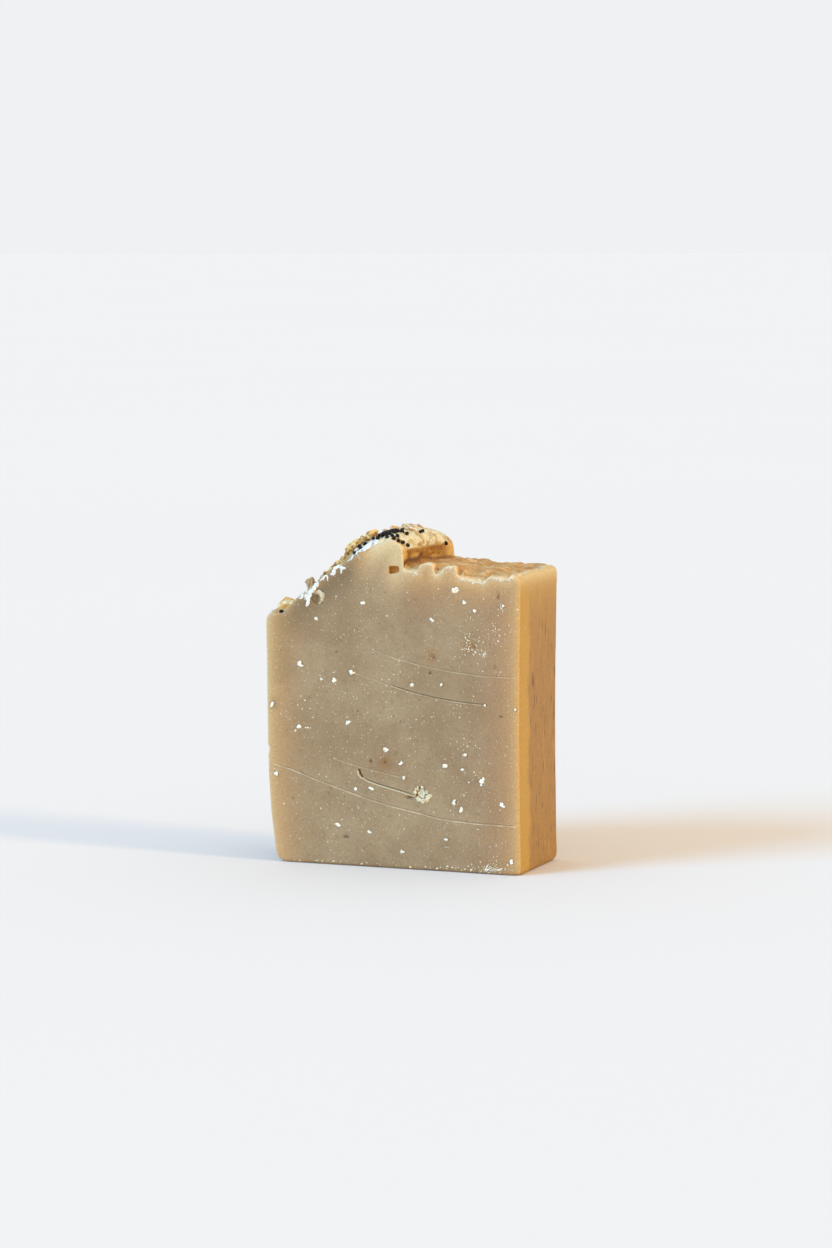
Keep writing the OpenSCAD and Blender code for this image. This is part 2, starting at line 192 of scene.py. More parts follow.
def resampled(piece, voxel):
    """Remeshes a piece with voxels of this size in mm."""
    use_modifier(piece, "REMESH", mode="VOXEL", voxel_size=voxel * MM)


def node_copy(name, piece_name):
    """A copy of a CAD node as a piece of its own, with its loose triangles merged."""
    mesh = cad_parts[name].data.copy()
    mesh.materials.clear()
    piece = added(piece_name, mesh)
    only(piece)
    if mesh.has_custom_normals:
        bpy.ops.mesh.customdata_custom_splitnormals_clear()
    edited(piece, bpy.ops.mesh.remove_doubles, threshold=0.002 * MM)
    return piece


def points_of(mesh):
    """Places and normals of a mesh's vertices as arrays."""
    both = []
    for key in ("co", "normal"):
        values = np.empty(len(mesh.vertices) * 3, np.float32)
        mesh.vertices.foreach_get(key, values)
        both.append(values.reshape(-1, 3).astype(float))
    return both


def tree_of(mesh):
    return BVHTree.FromPolygons([v.co for v in mesh.vertices], [p.vertices for p in mesh.polygons])


def from_above(tree, x, y):
    """Where a ray straight down meets a surface, in metres, and the way that it faces there."""
    return tree.ray_cast(Vector((x * MM, y * MM, OVERHEAD)), Vector((0, 0, -1)))[:2]


def step(low, high, value):
    """0 below low, 1 above high, and smooth between."""
    share = np.clip((value - low) / (high - low), 0, 1)
    return share * share * (3 - 2 * share)


def fade(distance, reach, power=2):
    """1 at no distance, falling off past the reach, and more sharply with a higher power."""
    return np.exp(-(distance / reach) ** power)


def group_from(piece, name, weights):
    """A vertex group with these weights."""
    group = piece.vertex_groups.new(name=name)
    for tenth in range(1, 11):
        chosen = np.nonzero(np.round(weights * 10) == tenth)[0]
        if len(chosen):
            group.add(chosen.tolist(), tenth / 10, "REPLACE")


def store(mesh, name, values):
    """Keeps one number for each vertex, for the materials."""
    attribute = mesh.attributes.new(name, "FLOAT", "POINT")
    attribute.data.foreach_set("value", np.asarray(values, np.float32))


# The soap: the slice that the frame gives, resampled, roughened on top and scratched by the wire
soap = node_copy("soap_bar", "soap")
cad_tree = tree_of(soap.data)


def height_over(x, y):
    """Height of the CAD soap's top at a place, in mm."""
    hit = from_above(cad_tree, x, y)[0]
    return hit.z / MM if hit else 0.0


def rim_points(heights):
    """The top edge of a cut, as points across and up in mm, close together down its steep parts too."""
    made = []
    for x, low, high in zip(across, heights, np.append(heights[1:], heights[-1])):
        parts = 1 + int(abs(high - low) / 0.15)
        made += [(x, low + (high - low) * k) for k in np.linspace(0, 1, parts, endpoint=False)]
    return np.array(made)


# Curds along the plateau's front edge, as the cut left them: across and up
CURDS = [
    (3.4, 65.9), (4.6, 65.8), (6.3, 65.85), (6.6, 66.9), (7.6, 67.65), (9.3, 67.75), (10.05, 67.1),
    (10.4, 65.4), (10.8, 65.2), (11.5, 65.6), (12.1, 66.2), (12.8, 66.95), (13.4, 67.15), (15.1, 67.15),
    (15.35, 66.9), (15.55, 65.5), (16.4, 64.75), (17.7, 64.6), (19.1, 64.4), (20.7, 64.35), (21.6, 63.9),
    (22.1, 64.4), (23.2, 65.15), (25.1, 65.1), (26.5, 64.7), (27.4, 64.85), (27.85, 65.45), (29.9, 65.5),
]
CURDS_START, CURDS_END = 3.4, 28.6
# Heights along both cuts, read just inside their rounded edges
across = np.arange(-29.9, 30.0, 0.1)
cad_front, back_line = [np.array([height_over(x, y) for x in across]) for y in (-12.35, 12.2)]
curd_x, curd_z = np.array(CURDS).T
front_line = np.where(across > CURDS_START, np.interp(across, curd_x, curd_z), cad_front)
curd_lift = front_line - cad_front
curd_lift = np.where(across < CURDS_END, curd_lift, curd_lift[np.searchsorted(across, CURDS_END - 0.1)])
low_line = np.minimum(front_line, back_line)
front_rim, back_rim = rim_points(front_line), rim_points(back_line)


def from_rim(flat, rim):
    """Distance of each point on a cut from its top edge, in mm."""
    tree = KDTree(len(rim))
    for index, (x, z) in enumerate(rim):
        tree.insert((x, z, 0), index)
    tree.balance()
    return np.array([tree.find((x, z, 0))[2] for x, z in flat])


def drawn_out(piece, share):
    """Scales a piece's mesh from left to right."""
    edited(piece, bpy.ops.transform.resize, value=(share, 1, 1), center_override=(0, 0, 0))


resampled(soap, 0.23)
x, y, z = (points_of(soap.data)[0] / MM).T
in_side, in_cut = HALF_WIDE - np.abs(x), HALF_THICK - np.abs(y)
poured = step(-4.5, -2.5, z - np.interp(x, across, low_line))
poured = poured * step(0.1, 0.7, in_cut) * step(0.3, 1.2, in_side)
group_from(soap, "poured", poured)
plateau = poured * step(6.0, 11.0, x) * step(68.4, 67.9, z) * step(0.3, 1.0, HALF_WIDE - x)
group_from(soap, "plateau", plateau)
use_modifier(soap, "SMOOTH", iterations=2, vertex_group="poured")
corners = step(3.0, 1.5, in_side) * step(3.0, 1.5, in_cut) + 0.25 * step(0.8, 0.2, z)
group_from(soap, "corners", np.minimum(1, corners))
use_modifier(soap, "SMOOTH", iterations=80, vertex_group="corners")
# Ridges from left to right over the plateau: lumps of a narrowed bar, drawn out again
NARROWED = 0.22
drawn_out(soap, NARROWED)
roughened(soap, 1.2, 1, 0.9, mid_level=0.56, direction="Z", vertex_group="plateau")
drawn_out(soap, 1 / NARROWED)
roughened(soap, 1.4, 2, 0.45, vertex_group="poured")
roughened(soap, 0.5, 1, 0.25, vertex_group="poured")

# Scratches that the cutting wire dragged over the front cut: their points, width and depth, how much
# of a pale burr with painted highlight shows below them, if it is unbroken, and how dark the painted shade
# inside them is
GASH = [(-7.6, 21.5), (-7.4, 20.7), (-6.9, 20.1)]
SCRATCHES = [
    ([(-28.1, 22.1), (-23.8, 21.0), (-17.9, 19.0), (-11.3, 17.0), (-5.6, 15.3), (-0.3, 14.0), (6.5, 12.8),
      (11.0, 11.8), (15.5, 11.4), (20.8, 11.1), (29.2, 11.0)], 0.17, 0.11, 1, False, 0),
    ([(-9.2, 43.3), (-4.0, 41.9), (-0.1, 40.7)], 0.15, 0.05, 1, False, 0),
    ([(-0.1, 40.7), (5.0, 39.4), (10.2, 38.4), (16.0, 37.7), (22.0, 37.3)], 0.16, 0.15, 0.45, False, 0.85),
    ([(-4.4, 48.5), (0.5, 46.9), (6.6, 45.5), (14.0, 44.3), (21.4, 43.6), (29.0, 43.5)], 0.16, 0.06, 1,
     False, 0),
    ([(-13.6, 23.9), (-6.9, 22.2), (2.8, 20.4)], 0.16, 0.05, 1, False, 0),
    ([(-7.0, 20.1), (-5.4, 19.3), (-3.0, 18.6), (2.2, 17.4), (5.3, 16.6)], 0.20, 0.24, 1, True, 0.85),
    (GASH, 0.34, 0.7, 1, False, 0),
]
# Small pits and scuffs: across, up, half width, half height and depth
PITS = [
    (25.7, 34.8, 0.5, 0.3, 0.18), (25.1, 61.0, 0.4, 0.8, 0.15), (-10.8, 6.4, 0.8, 0.4, 0.2),
    (9.2, 43.7, 0.4, 0.5, 0.2), (-4.8, 23.6, 0.4, 0.5, 0.25), (-1.5, 23.5, 0.35, 0.4, 0.2),
    (-19.4, 37.2, 0.45, 0.45, 0.07), (-13.0, 47.5, 0.3, 0.3, 0.15), (4.3, 16.0, 1.0, 0.4, 0.3),
    (-7.9, 34.6, 0.25, 0.25, 0.15), (-14.9, 16.0, 0.25, 0.25, 0.12), (-23.6, 14.4, 0.35, 0.3, 0.12),
    (10.2, 47.1, 0.35, 0.35, 0.15), (6.8, 37.7, 0.25, 0.25, 0.12), (5.8, 59.7, 0.5, 0.4, 0.07),
    (18.0, 50.6, 0.35, 0.3, 0.12), (19.6, 49.8, 0.3, 0.35, 0.12),
]


def near_path(flat, path):
    """Distance of each point from a path of points, all in mm on the cut."""
    best = np.full(len(flat), 1e9)
    for a, b in zip(path, path[1:]):
        a, b = np.array(a), np.array(b)
        share = np.clip(((flat - a) @ (b - a)) / ((b - a) @ (b - a)), 0, 1)
        best = np.minimum(best, np.linalg.norm(flat - (a + share[:, None] * (b - a)), axis=1))
    return best


def on_front(places, normals):
    return (places[:, 1] < (0.15 - HALF_THICK) * MM) & (normals[:, 1] < -0.8)


def near_marks(flat):
    """Distance in mm from the nearest scratch or pit."""
    marks = [near_path(flat, path) - width for path, width, *rest in SCRATCHES]
    marks += [np.hypot(flat[:, 0] - u, flat[:, 1] - v) - max(w, h) for u, v, w, h, depth in PITS]
    return np.min(marks, axis=0)


# Finer faces at the scratches and pits, then the marks themselves
places, normals = points_of(soap.data)
chosen = on_front(places, normals) & (near_marks(places[:, [0, 2]] / MM) < 0.3)
bpy.ops.object.mode_set(mode="EDIT")
bpy.ops.mesh.select_mode(type="FACE")
bpy.ops.mesh.select_all(action="DESELECT")
bpy.ops.object.mode_set(mode="OBJECT")
soap.data.polygons.foreach_set("select", [all(chosen[v] for v in p.vertices) for p in soap.data.polygons])
bpy.ops.object.mode_set(mode="EDIT")
bpy.ops.mesh.subdivide(number_cuts=1)
bpy.ops.object.mode_set(mode="OBJECT")
places, normals = points_of(soap.data)
flat = places[:, [0, 2]] / MM
sink = np.zeros(len(places))
for path, width, depth, *rest in SCRATCHES:
    distance = near_path(flat, path)
    ends = np.minimum(*[np.linalg.norm(flat - np.array(end), axis=1) for end in (path[0], path[-1])])
    groove = depth * np.exp(-(distance / width) ** 2 * 2.2)
    lip = min(0.6 * depth, 0.08) * fade(distance - 1.5 * width, 0.6 * width)
    sink = sink + (groove - lip) * (0.35 + 0.65 * step(0, 1.5, ends))
for u, v, w, h, depth in PITS:
    sink = sink + depth * np.exp(-(((flat[:, 0] - u) / w) ** 2 + ((flat[:, 1] - v) / h) ** 2))
front = on_front(places, normals)
places[front, 1] += sink[front] * MM
# The curds stand up along the front edge, over the frame's own line there
x, y, z = (places / MM).T
lifted = MM * np.interp(x, across, curd_lift) * step(-9.0, -12.0, y)
lifted = lifted * step(-3.4, -0.5, z - np.interp(x, across, cad_front))
places[:, 2] += lifted * step(3.2, 3.6, x) * step(29.8, 28.6, x)
# A nick in the left edge of the front cut
nick = 0.3 * MM * step(-28.8, -29.4, x) * step(23.6, 25.5, z) * step(26.0, 25.7, z)
places[:, 0] += nick * step(-8.5, -11.0, y)
# The air pit lies half a millimetre lower in the cut than in the frame
lowered = 0.5 * MM * step(-1.9, -0.9, x) * step(3.0, 2.5, x) * step(68.9, 67.9, z)
places[:, 2] -= lowered * step(64.2, 65.2, z) * step(-10.0, -10.8, y)
soap.data.vertices.foreach_set("co", places.astype(np.float32).ravel())
soap.data.update()
# Fewer triangles where the bar is plain: most on the poured top and at the scratches
places, normals = points_of(soap.data)
x, y, z = (places / MM).T
plain = np.full(len(places), 0.85)
plain[(y < -12.3) | (x > 29.8)] = 0.55
plain[(z > np.interp(x, across, low_line) - 3.2) & (y < 12.3)] = 0.15
plain[on_front(places, normals) & (near_marks(places[:, [0, 2]] / MM) < 0.15)] = 0.1
group_from(soap, "plain", plain)
triangles = sum(len(p.vertices) - 2 for p in soap.data.polygons)
use_modifier(soap, "DECIMATE", ratio=min(1.0, MOST_TRIANGLES / triangles), vertex_group="plain")

# Where the soap changes colour: a share from 0 to 1 for each vertex, by distances in mm
places, normals = points_of(soap.data)
smoothed = added("smoothed", soap.data.copy())
use_modifier(smoothed, "SMOOTH", iterations=30)
sunk = np.einsum("ij,ij->i", points_of(smoothed.data)[0] - places, normals) / MM
bpy.data.objects.remove(smoothed)
x, y, z = (places / MM).T
across_up, back_up = np.stack([x, z], axis=1), np.stack([y, z], axis=1)


def blob(place, reaches, power):
    """1 at a place, falling off in an oval with these reaches."""
    away = sum(((value - middle) / reach) ** 2 for value, middle, reach in zip((x, y, z), place, reaches))
    return np.exp(-away ** power)


# How far each vertex is under its cut's top edge, and from the bar's two walls
line = np.where(y < 0, np.interp(x, across, front_line), np.interp(x, across, back_line))
under = np.full(len(places), 50.0)
for side, rim in ((-1, front_rim), (1, back_rim)):
    near = np.nonzero((y * side > 0) & (z > 40))[0]
    under[near] = from_rim(across_up[near], rim)
from_right = np.maximum(HALF_WIDE - x, 0)
from_left = np.maximum(x + HALF_WIDE - 1.9 * np.maximum(0, 1 - z / 24) ** 2, 0)
brims = [np.interp(y, (-HALF_THICK, HALF_THICK), (front_line[k], back_line[k])) for k in (2, -3)]
under_brim = np.maximum(np.where(x > 0, brims[1], brims[0]) - z, 0)
# The parts of the bar
cut = step(1.5, 0.7, HALF_THICK - np.abs(y)) * step(0.15, 0.5, np.abs(normals[:, 1]))
on_plateau = step(-1.0, 6.0, x)
on_crest = step(-10.5, -5.0, x) * (1 - on_plateau)
on_flank = 1 - on_plateau - on_crest
steep = step(0.15, 0.5, normals[:, 0]) * step(7.6, 6.6, x) * step(1.8, 2.6, x)
steep = steep * step(70.9, 70.2, z) * step(65.2, 66.0, z) * (1 - cut)
outer = step(0.9, 0.6, np.abs(normals[:, 0])) * step(29.9, 29.3, np.abs(x))
top = np.clip(step(-4.6, -2.8, z - line) * (1 - cut) * np.where(np.abs(x) > 27, outer, 1) + steep, 0, 1)
pit = step(-1.0, -0.6, x) * step(2.5, 2.2, x) * step(64.6, 64.9, z) * step(67.1, 66.8, z)
pit = pit * step(-12.35, -12.2, y) * step(-9.0, -10.0, y)
# The dark line of painted shade at the foot of the steep side, near the front cut and far from it: back and
# up
FOOT = [
    (-12.2, 67.0), (-11.4, 67.9), (-10.3, 68.2), (-8.6, 68.1), (-7.0, 68.0), (-5.2, 68.1), (-3.9, 68.7),
    (-3.2, 69.1),
]
FAR_FOOT = [(-3.4, 68.2), (0.2, 67.8), (5.0, 67.6), (10.5, 67.4)]
foot = np.maximum(fade(near_path(back_up, FOOT), 0.6), 0.6 * fade(near_path(back_up, FAR_FOOT), 0.4))
foot = foot * step(1.8, 2.4, x) * step(7.0, 6.0, x) * (1 - cut)
# Dips behind the rim, brown with painted shade: place, reach and depth of colour
DIPS = [
    (10.6, -12.2, 65.5, 0.9, 1.0), (10.3, -11.6, 66.0, 0.8, 0.9), (16.2, -12.0, 65.4, 0.9, 0.7),
    (18.0, -11.9, 65.2, 1.0, 0.6), (22.0, -11.9, 64.6, 0.6, 0.6), (26.8, -11.9, 65.0, 0.5, 0.6),
]
# Painted shade in the notch beside the steep side, then in each dip
notch_shade = fade(x - 3.4, 2.3) * step(-8.8, -10.8, y) * step(68.4, 67.8, z) * step(2.0, 2.8, x) * (1 - cut)
for u, v, w, reach, share in DIPS:
    notch_shade = np.maximum(notch_shade, share * blob((u, v, w), (reach, reach * 1.8, reach), 1.5))
greatest = np.maximum.reduce
# The marks in the front cut: pale burrs with painted highlight on them, brown painted shade inside the
# scratches, in the pits and in the gash, and blotches
scratch, groove = np.zeros(len(places)), np.zeros(len(places))
for path, width, depth, burr, unbroken, dark in SCRATCHES:
    away = near_path(across_up, path)
    path_x, path_z = np.array(path).T
    gaps = 1.0 if unbroken else 0.35 + 0.65 * step(-0.3, 0.5, np.sin(x * 1.3) + np.sin(x * 0.47))
    shown = burr * min(1.0, depth / 0.13) * (z < np.interp(x, path_x, path_z)) * gaps
    # A pale burr below each scratch, with painted highlight on it
    scratch = np.maximum(scratch, shown * fade(away - 1.1 * width, 0.5 * width))
    # Painted shade inside each scratch, past its start
    groove = np.maximum(groove, dark * step(0.0, 1.5, x - path_x[0]) * fade(away, 0.6 * width))
# Painted shade in the pits, darker the deeper they are
pit_shade = greatest([min(1, 5 * depth) * np.exp(-1.3 * (((x - u) / w) ** 2 + ((z - v) / h) ** 2))
                  for u, v, w, h, depth in PITS])
# Painted shade in the gash
gash_shade = fade(near_path(across_up, GASH), 0.33, 4)
# Across, up and reach
BLOTCHES = [(-1.4, 23.5, 1.8), (-28.1, 35.3, 1.1), (18.6, 50.2, 1.6), (9.6, 47.5, 1.3)]
blots = greatest([fade(np.hypot(x - u, z - v), reach) for u, v, reach in BLOTCHES])
for mark in (scratch, groove, pit_shade, gash_shade, blots):
    mark[y > -12.0] = 0
masks = {
    "cut": cut, "top": top, "steep": steep, "pit": pit, "foot": foot, "notch_shade": notch_shade,
    "scratch": scratch, "groove": groove, "pit_shade": pit_shade, "gash_shade": gash_shade, "blots": blots,
    # Towards the outside the cut turns redder, then gold, then cream: partly the cured skin's own colour,
    # partly painted glow of light coming through the soap's edges
    "blush": greatest([fade(from_right, 7.5, 1.6), 0.75 * fade(from_left, 5.5, 1.6),
                       0.8 * fade(under, 7.5) * on_plateau]),
    "rind_and_glow": greatest([0.85 * fade(from_right, 2.9, 1.25), 0.95 * fade(from_left, 4.4, 1.3),
                      fade(under, 3.2, 1.3) * on_plateau, fade(under, 4.0, 1.5) * on_crest,
                      0.4 * fade(under, 1.0, 1.5) * on_flank]),
    "gold_edge_glow": fade(from_right, 1.6, 1.6),
    "pale": 0.62 * fade(under, 1.3, 1.5) * on_plateau,
    "cream_edge": np.maximum(fade(under, 3.4, 1.6) * on_crest * step(-7.5, -3.0, x),
                             0.55 * fade(from_left, 1.6, 1.2)),
    # A painted highlight along the plateau's scalloped front edge
    "rim_highlight": 0.45 * fade(under, 0.3) * step(1.0, 3.4, x) * step(29.4, 28.6, x),
    "flank_shade": on_flank * fade(under - 2.0, 3.6),
    # The moulded sides are paler near the top, with a gold stripe beside the front cut, partly a line in
    # their skin and partly painted glow of light through the corner
    "side_cream": fade(under_brim, 1.9, 1.6),
    "side_gold": fade(under_brim, 7.0, 1.2),
    "band": step(28.0, 29.5, x) * step(-5.0, -6.9, y + 0.5 * np.sin(z * 0.35) + 0.3 * np.sin(z * 0.93 + 1)),
    # Painted light on the steep side where it is lit, cream on the crest, and the rest of the top
    "lit": greatest([step(7.0, 10.0, y), step(-10.2, -11.4, y),
                     blob((0, -6.3, 68.8), (np.inf, 2.9, 0.6), 1.5),
                     0.8 * blob((0, 2.9, 68.1), (np.inf, 1.7, 0.5), 1.5)]),
    "cream_top": top * (1 - steep) * step(5.9, 5.2, x) * step(-4.0, -1.5, x) * step(69.6, 70.4, z),
    "flank_top": top * step(-1.0, -4.0, x),
    # Gold on the lump at the left corner, partly painted glow of the warm light through it
    "gold_lump": blob((-26.9, -8.0, 58.0), (2.6, 5.0, 2.0), 2) * (1 - cut),
    "pale_rim": top * step(2.0, 3.5, x) * (1 - steep) * (1 - notch_shade)
                * np.maximum(step(-11.0, -12.0, y), 0.7 * step(27.5, 29.5, x)),
    # Painted shade in the top's hollows, where it lies below its smoothed copy
    "hollow": step(0.02, 0.30, sunk) * top,
}
for name, values in masks.items():
    store(soap.data, name, values)


def tint_of(colour):
    """A hex value as a colour, or a link as it is."""
    return linear(colour) if isinstance(colour, str) else colour


def layered(material, colour, layers):
    """Lays tints over a colour, each by the product of its shares."""
    colour = tint_of(colour)
    for tint, share, *factors in layers:
        for factor in factors:
            product = node(material, "ShaderNodeMath", {"operation": "MULTIPLY"}, {0: share, 1: factor})
            share = product.outputs["Value"]
        mix = node(material, "ShaderNodeMix", {"data_type": "RGBA"}, {0: share, 6: colour, 7: tint_of(tint)})
        colour = mix.outputs[2]
    return colour


def scatter(weight, radius, scale):
    """The shader's inputs for light that wanders under the surface, with its scale in mm."""
    return {"Subsurface Weight": weight, "Subsurface Radius": radius, "Subsurface Scale": scale * MM}


# Soap: lye and oils stirred to a paste with ground oats, poured in a mould, cured and cut by wire
paste = new_material("cold-process soap, poured, cured and wire-cut")
tex = node(paste, "ShaderNodeTexCoord")
mm = node(paste, "ShaderNodeMapping",
          inputs={"Vector": tex.outputs["Object"], "Scale": (1 / MM,) * 3}).outputs["Vector"]
# Each share as a list of links whose product counts
shares = {name: [node(paste, "ShaderNodeAttribute", {"attribute_name": name}).outputs["Fac"]]
          for name in masks}
# Noise patterns: size of a patch, detail, the part of the noise that counts, and any stretch
PATTERNS = {
    "clouds": (9.0, 4.0, 0.36, 0.64), "smudge": (1.4, 4.0, 0.56, 0.76), "grain": (0.5, 4.0, 0.3, 0.7),
    "streak": (1.0, 3.0, 0.58, 0.68, 1, 1, 0.2), "glow": (1.6, 3.0, 0.44, 0.3, 1, 1, 0.2),
    "dash": (0.9, 2.0, 0.70, 0.76, 1, 1, 0.4), "crust": (2.6, 4.0, 0.40, 0.60),
    "blotch": (3.0, 3.0, 0.38, 0.50), "curd": (2.2, 3.0, 0.47, 0.56),
    "drawn": (2.0, 3.0, 0.40, 0.6, 0.25, 1, 1), "layer": (1.6, 4.0, 0.42, 0.58, 1, 0.6, 1.8),
    "white": (2.0, 4.0, 0.52, 0.62),
}
for name, (size, detail, low, high, *stretch) in PATTERNS.items():
    drawn = node(paste, "ShaderNodeMapping",
                 inputs={"Vector": mm, "Scale": stretch or (1, 1, 1), "Location": (size * 3, size * 5, 0)})
    field = node(paste, "ShaderNodeTexNoise",
                 inputs={"Vector": drawn.outputs["Vector"], "Scale": 1 / size, "Detail": detail,
                         "Roughness": 0.6})
    counted = node(paste, "ShaderNodeMapRange",
                   inputs={"Value": field.outputs["Fac"], "From Min": low, "From Max": high})
    shares[name] = [counted.outputs["Result"]]
# Crumbs too small to stand out, pinholes painted dark for the shade in them, and brown spots in the cut:
# spacing, radius and how rare
SPECKS = {"dust": (0.75, 0.17, 0.42), "flecks": (2.4, 0.24, 0.78), "pinhole_shade": (3.4, 0.30, 0.80),
          "spots": (9.0, 1.0, 0.80)}
for name, (spacing, radius, rare) in SPECKS.items():
    bent = node(paste, "ShaderNodeTexNoise", inputs={"Vector": mm, "Scale": 2 / spacing, "Detail": 1.0})
    moved = node(paste, "ShaderNodeVectorMath", {"operation": "MULTIPLY_ADD"},
                 {0: bent.outputs["Color"], 1: (0.5 * spacing,) * 3, 2: mm})
    cells = node(paste, "ShaderNodeTexVoronoi",
                 inputs={"Vector": moved.outputs["Vector"], "Scale": 1 / spacing})
    inside = node(paste, "ShaderNodeMapRange",
                  inputs={"Value": cells.outputs["Distance"], "From Min": radius / spacing,
                          "From Max": 0.4 * radius / spacing})
    chance = node(paste, "ShaderNodeSeparateColor", inputs={"Color": cells.outputs["Color"]})
    strong = node(paste, "ShaderNodeMapRange",
                  inputs={"Value": chance.outputs["Red"], "From Min": rare, "From Max": 1.0,
                          "To Min": 0.16, "To Max": 0.9})
    kept = node(paste, "ShaderNodeMath", {"operation": "GREATER_THAN"}, {0: chance.outputs["Red"], 1: rare})
    shares[name] = [inside.outputs["Result"], strong.outputs["Result"], kept.outputs["Value"]]


def laid(colour, *layers):
    """Lays tints over a colour of the soap, each by the product of the shares named after it."""
    return layered(paste, colour, [(tint, *sum([shares[name] for name in names], []))
                                   for tint, *names in layers])


# Cut face: khaki paste in soft clouds, cream towards the outside with painted glow at its edges, speckled
# with crumbs
# Painted shade in pinholes, pits, scratch insides and the gash, and painted highlight on the scratch burrs
face = laid("#9e7d56", ("#ad8d64", "clouds"), ("#ae7f56", "blush"), ("#8b6d49", "flank_shade"),
            ("#93754d", "smudge"), ("#7f6240", "spots"), ("#cf9b5c", "rind_and_glow"), ("#9c7144", "blots"),
            ("#c4a06a", "gold_edge_glow"), ("#dcb480", "pale"), ("#e3c38d", "cream_edge"), ("#ecd4a6", "rim_highlight"),
            ("#5f4526", "pinhole_shade"), ("#dccaa6", "dust"), ("#efe2c6", "flecks"), ("#7a5632", "pit_shade"),
            ("#70592f", "groove"), ("#5f3912", "gash_shade"), ("#dac094", "scratch"))
# Moulded sides: browner, gold under the top and beside the cut, the gold beside the cut partly painted glow,
# with dark upright flecks and light dashes
skin = laid("#987039", ("#6d4821", "streak"), ("#a47c40", "glow"), ("#b18a45", "side_gold"),
            ("#b0863a", "band"), ("#c09a60", "dash"), ("#d9bd8a", "flecks"), ("#c6ab78", "side_cream"))
# Poured top: tan crust with drawn ridges and painted shade in its hollows, amber down the steep side with
# painted light where it is lit, cream on the crest, and painted shade in the notch and along the foot
amber = laid("#8a5608", ("#a4762a", "layer"), ("#c69b52", "lit"))
cream = laid("#ac8340", ("#bfaa7c", "blotch"), ("#d6cba8", "curd"))
crust = laid("#a97940", ("#c39458", "drawn"), ("#d7b17c", "crust", "white"), ("#98682f", "hollow"),
             ("#dcc090", "pale_rim"), ("#b9966a", "flank_top"), ("#ece4d6", "flank_top", "white"),
             ("#dca452", "gold_lump"), ("#eeddb4", "gold_lump", "white"))
# Painted shade along the foot of the steep side, and in the notch and the dips behind the rim
crust = laid(crust, (cream, "cream_top"), (amber, "steep"), ("#a26f2c", "notch_shade"), ("#643a0c", "foot"))
coloured = laid(skin, (face, "cut"), (crust, "top"), ("#c07f2e", "pit"), ("#e2b068", "pit", "grain"))
speckle = node(paste, "ShaderNodeMix", {"data_type": "RGBA"},
               {0: shares["grain"][0], 6: (0.87, 0.87, 0.87, 1), 7: (1.10, 1.10, 1.10, 1)})
coloured = node(paste, "ShaderNodeMix", {"data_type": "RGBA", "blend_type": "MULTIPLY"},
                {0: 1.0, 6: coloured, 7: speckle.outputs[2]})
bump = node(paste, "ShaderNodeBump",
            inputs={"Height": shares["grain"][0], "Strength": 0.5, "Distance": 0.06 * MM})
shader = node(paste, "ShaderNodeBsdfPrincipled",
              inputs={"Base Color": coloured.outputs[2], "Roughness": 0.5, "IOR": 1.46,
                      "Specular IOR Level": 0.2, "Normal": bump.outputs["Normal"],
                      **scatter(0.3, (1.4, 1.0, 0.65), 0.7)})
node(paste, "ShaderNodeOutputMaterial", inputs={"Surface": shader.outputs["BSDF"]})
soap.data.materials.append(paste)
only(soap)
bpy.ops.object.shade_smooth()
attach(soap, "root")
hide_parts("soap_bar")
soap_tree = tree_of(soap.data)


def surface_at(x, y, z):
    """The nearest point of the soap's surface, and the way that it faces."""
    return soap_tree.find_nearest(Vector((x, y, z)) * MM)[:2]


def joined(name, made, material, replaced=None):
    """One finished piece from parts: joined, with its place in its mesh, its material and its body."""
    bpy.ops.object.select_all(action="DESELECT")
    for part in made:
        part.select_set(True)
    bpy.context.view_layer.objects.active = made[0]
    if len(made) > 1:
        bpy.ops.object.join()
    piece = bpy.context.view_layer.objects.active
    piece.name = name
    piece.data.materials.clear()
    piece.data.materials.append(material)
    bpy.ops.object.shade_smooth()
    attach(piece, "root")
    if replaced:
        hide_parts(replaced)
    return piece


def loose_parts(node_name):
    """The solids of a CAD node, each as a merged piece of its own."""
    whole = node_copy(node_name, node_name + "_copy")
    edited(whole, bpy.ops.mesh.separate, type="LOOSE")
    return list(bpy.context.selected_objects)


def axes_of(part):
    """Centre, long, middle and short axes of a solid, and its size along each."""
    places = points_of(part.data)[0]
    values, vectors = np.linalg.eigh(np.cov((places - places.mean(0)).T))
    own_axes = vectors[:, ::-1].T
    if np.linalg.det(own_axes) < 0:
        own_axes[2] *= -1
    spread = (places - places.mean(0)) @ own_axes.T
    middle = places.mean(0) + ((spread.max(0) + spread.min(0)) / 2) @ own_axes
    return Vector(middle), [Vector(a) for a in own_axes], spread.max(0) - spread.min(0)


def placed(template, centre, axes, size):
    """A copy of a template, with its own mesh, turned to the axes and scaled to the size."""
    turned = Matrix([[axes[c][r] * size[c] for c in range(3)] for r in range(3)]).to_4x4()
    mesh = template.data.copy()
    mesh.transform(Matrix.Translation(centre) @ turned)
    if turned.determinant() < 0:
        mesh.flip_normals()
    return added("part", mesh)


def turned_axes(normal, turn):
    """Three axes with the last along the normal, turned about it."""
    base = normal.orthogonal().normalized()
    a = base * math.cos(turn) + normal.cross(base) * math.sin(turn)
    return [a, normal.cross(a), normal]


rng = random.Random(5)


def any_turn(normal):
    """Three axes with the last along the normal, turned about it at random."""
    return turned_axes(normal, rng.uniform(0, FULL_TURN))


def new_ball(subdivisions):
    """An icosphere 1 unit across, to make a template from."""
    bpy.ops.mesh.primitive_ico_sphere_add(subdivisions=subdivisions, radius=0.5)
    return bpy.context.object


